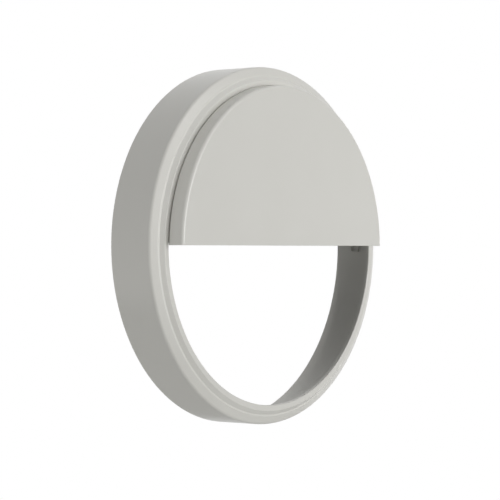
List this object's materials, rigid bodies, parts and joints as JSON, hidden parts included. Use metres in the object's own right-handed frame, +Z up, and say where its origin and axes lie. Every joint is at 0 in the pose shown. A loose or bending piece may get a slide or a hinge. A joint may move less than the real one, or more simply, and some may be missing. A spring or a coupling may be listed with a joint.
{
  "type": "led bulkhead light",
  "caption": "Round wall bulkhead light: a stepped trim ring with a half-moon eyelid visor snaps over a half-moon base that holds a down-facing lamp.",
  "frame": {"origin": "centre of the trim ring's rear edge, on the wall plane", "axes": "+Z up, the light faces -Y, +Y goes into the wall"},
  "size_m": [0.3, 0.0593, 0.3],
  "materials": {
    "trim_plastic": "light grey satin, moulded",
    "cast_alloy": "die-cast, powder coated pale grey",
    "foam": "closed-cell foam",
    "dark_rubber": "matt",
    "silicone": "matt",
    "screw_steel": "zinc plated",
    "spring_steel": "bright rolled",
    "board_white": "white solder mask",
    "lamp_chip": "yellow phosphor",
    "socket_ivory": "moulded",
    "opal": "opal, satin",
    "driver_alloy": "extruded, mill finish",
    "black_plastic": "moulded",
    "grey_plastic": "moulded",
    "live_brown": "moulded",
    "neutral_blue": "moulded",
    "earth_green": "moulded",
    "brass": "turned",
    "tinned_copper": "tinned",
    "wire_brown": "insulation",
    "wire_blue": "insulation",
    "wire_green": "insulation",
    "wire_red": "insulation",
    "wire_black": "insulation"
  },
  "bodies": {
    "base": {"base_pan": "cast_alloy", "wall_gasket": "foam", "cable_grommet": "dark_rubber", "gear_cover": "cast_alloy", "cover_gasket": "silicone", "cover_screws": "screw_steel", "spring_clips": "spring_steel", "clip_screws": "screw_steel", "lamp_board": "board_white", "lamp_chips": "lamp_chip", "lamp_socket": "socket_ivory", "board_screws": "screw_steel", "opal_trough": "opal", "trough_gasket": "silicone", "trough_screws": "screw_steel", "driver_case": "driver_alloy", "driver_end_caps": "black_plastic", "driver_screws": "screw_steel", "terminal_block": "grey_plastic", "terminal_screws": "screw_steel", "earth_stud": "brass", "earth_washer": "screw_steel", "earth_tag": "tinned_copper", "earth_nut": "brass", "lead_grommet": "dark_rubber", "lead_live": "wire_brown", "lead_neutral": "wire_blue", "lead_earth": "wire_green", "lead_plus": "wire_red", "lead_minus": "wire_black"},
    "trim": {"trim_ring": "trim_plastic", "visor": "trim_plastic"},
    "lever_live": {"lever_live": "live_brown"},
    "lever_neutral": {"lever_neutral": "neutral_blue"},
    "lever_earth": {"lever_earth": "earth_green"}
  },
  "joints": [
    {"name": "trim_pull", "type": "slide", "parent": "base", "child": "trim", "axis": [0, -1, 0], "range_m": [0, 0.045]},
    {"name": "lever_live_open", "type": "hinge", "parent": "base", "child": "lever_live", "pos_m": [0.059, -0.0188, 0.07], "axis": [-1, 0, 0], "range_deg": [0, 90]},
    {"name": "lever_neutral_open", "type": "hinge", "parent": "base", "child": "lever_neutral", "pos_m": [0.07, -0.0188, 0.07], "axis": [-1, 0, 0], "range_deg": [0, 90]},
    {"name": "lever_earth_open", "type": "hinge", "parent": "base", "child": "lever_earth", "pos_m": [0.081, -0.0188, 0.07], "axis": [-1, 0, 0], "range_deg": [0, 90]}
  ]
}
